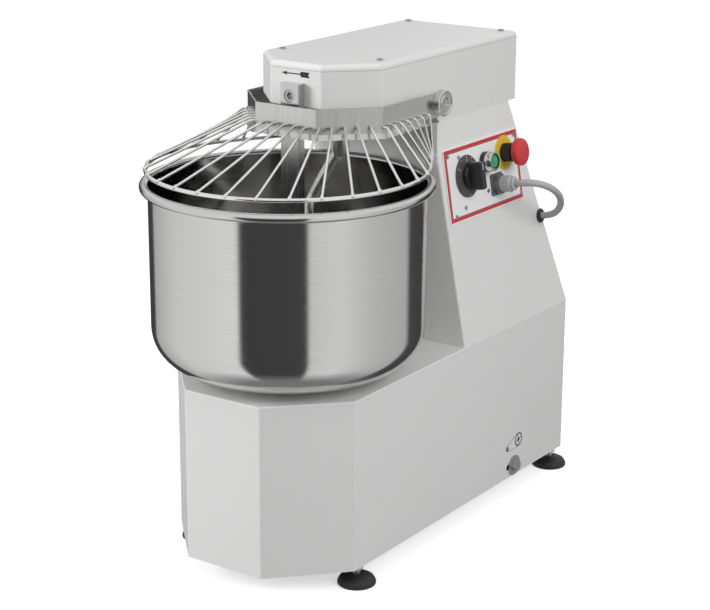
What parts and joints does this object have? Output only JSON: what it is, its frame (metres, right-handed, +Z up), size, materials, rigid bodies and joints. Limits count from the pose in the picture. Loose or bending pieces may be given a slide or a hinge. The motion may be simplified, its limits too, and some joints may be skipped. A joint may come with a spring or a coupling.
{
  "type": "spiral dough mixer",
  "caption": "Floor-standing spiral dough mixer with fixed head, turning steel bowl, spiral hook, breaker bar, lifting wire guard and side control panel.",
  "frame": {"origin": "on the floor, in the middle of the machine's footprint", "axes": "+Z up; -Y towards the operator, who stands at the bowl; +X to the operator's right, the side of the control panel; +Y to the rear"},
  "size_m": [0.424, 0.7782, 0.7446],
  "materials": {
    "white_enamel": "gloss stove enamel on sheet steel",
    "bowl_steel": "polished stainless steel",
    "satin_steel": "satin stainless steel",
    "bright_wire": "electropolished stainless rod",
    "zinc_steel": "bright zinc plate",
    "machined_steel": "oiled machined steel",
    "cast_iron": "painted casting",
    "motor_aluminium": "grey painted die casting",
    "black_rubber": "moulded rubber",
    "panel_print": "printed panel sheet with a red border",
    "dial_black": "satin black plate with pale marks",
    "black_plastic": "moulded black plastic",
    "bezel_metal": "bright bezel",
    "green_plastic": "gloss green cap",
    "red_plastic": "satin red mushroom head",
    "yellow_plastic": "yellow ring plate",
    "socket_grey": "dark grey moulded flange",
    "lead_grey": "grey sheathed cable and plug"
  },
  "bodies": {
    "frame": {"body_casing": "white_enamel", "head_casing": "white_enamel", "head_cover": "white_enamel", "rear_covers": "white_enamel", "bottom_plate": "white_enamel", "breaker_bar": "satin_steel", "casing_screws": "zinc_steel", "foot_studs": "zinc_steel", "breaker_bar_screw": "zinc_steel", "belt_adjuster": "zinc_steel", "bowl_chain": "machined_steel", "head_chain": "machined_steel", "ball_bearings": "machined_steel", "head_frame_plate": "machined_steel", "cross_beam": "machined_steel", "motor_plate": "machined_steel", "bowl_bearing_housing": "cast_iron", "spiral_bearing_housing": "cast_iron", "main_bearing_housings": "cast_iron", "gearbox": "motor_aluminium", "motor_body": "motor_aluminium", "rubber_feet": "black_rubber", "drive_belts": "black_rubber", "lead_grommet": "black_rubber", "panel_plate": "panel_print", "selector_dial": "dial_black", "start_button_base": "black_plastic", "estop_collar": "black_plastic", "mains_gland": "black_plastic", "switch_contact_blocks": "black_plastic", "guard_sensor": "black_plastic", "start_button_bezel": "bezel_metal", "estop_label_ring": "yellow_plastic", "lead_socket": "socket_grey", "control_lead": "lead_grey", "lead_plug": "lead_grey"},
    "bowl": {"bowl": "bowl_steel", "bowl_seat_plate": "satin_steel", "bowl_shaft": "machined_steel", "bowl_sprocket": "machined_steel", "bowl_bolts": "zinc_steel"},
    "spiral": {"spiral_shaft": "satin_steel", "spiral_hook": "satin_steel", "spiral_sprocket": "machined_steel"},
    "main_drive": {"main_shaft": "machined_steel", "main_pulley": "cast_iron", "drive_pinion": "machined_steel", "head_drive_sprocket": "machined_steel"},
    "motor_rotor": {"motor_output_shaft": "machined_steel", "motor_pulley": "cast_iron"},
    "guard": {"guard_collar": "satin_steel", "guard_wires": "bright_wire", "guard_ring": "bright_wire", "guard_end_straps": "satin_steel", "guard_pivots": "satin_steel", "guard_magnet_arm": "satin_steel"},
    "selector": {"selector_knob": "black_plastic"},
    "start_button": {"start_button_cap": "green_plastic"},
    "estop_plunger": {"estop_stem": "black_plastic"},
    "estop_button": {"estop_head": "red_plastic"}
  },
  "joints": [
    {"name": "bowl_spin", "type": "hinge", "parent": "frame", "child": "bowl", "pos_m": [0, -0.17715, 0.3], "axis": [0, 0, 1], "continuous": true},
    {"name": "main_spin", "type": "hinge", "parent": "frame", "child": "main_drive", "pos_m": [0, 0.12285, 0.4], "axis": [0, 0, 1], "continuous": true},
    {"name": "spiral_spin", "type": "hinge", "parent": "frame", "child": "spiral", "pos_m": [0, -0.04515, 0.64], "axis": [0, 0, 1], "continuous": true},
    {"name": "motor_spin", "type": "hinge", "parent": "frame", "child": "motor_rotor", "pos_m": [0, 0.23785, 0.12], "axis": [0, 0, 1], "continuous": true},
    {"name": "guard_hinge", "type": "hinge", "parent": "frame", "child": "guard", "pos_m": [0, 0.03585, 0.668], "axis": [-1, 0, 0], "range_deg": [0, 80]},
    {"name": "selector_turn", "type": "hinge", "parent": "frame", "child": "selector", "pos_m": [0.12, 0.11385, 0.543], "axis": [0.987, 0, 0.1609], "range_deg": [-60, 60]},
    {"name": "start_push", "type": "slide", "parent": "frame", "child": "start_button", "axis": [-0.987, 0, -0.1609], "range_m": [0, 0.004], "stiffness_N_per_m": 900},
    {"name": "estop_push", "type": "slide", "parent": "frame", "child": "estop_plunger", "axis": [-0.987, 0, -0.1609], "range_m": [0, 0.005], "stiffness_N_per_m": 1200},
    {"name": "estop_twist", "type": "hinge", "parent": "estop_plunger", "child": "estop_button", "pos_m": [0.11739, 0.22785, 0.559], "axis": [-0.987, 0, -0.1609], "range_deg": [0, 30], "stiffness_Nm_per_rad": 0.3}
  ],
  "couplings": [
    {"joint": "main_spin", "follows": "bowl_spin", "ratio": 5.8333},
    {"joint": "spiral_spin", "follows": "bowl_spin", "ratio": 8.75},
    {"joint": "motor_spin", "follows": "bowl_spin", "ratio": 17.754}
  ]
}
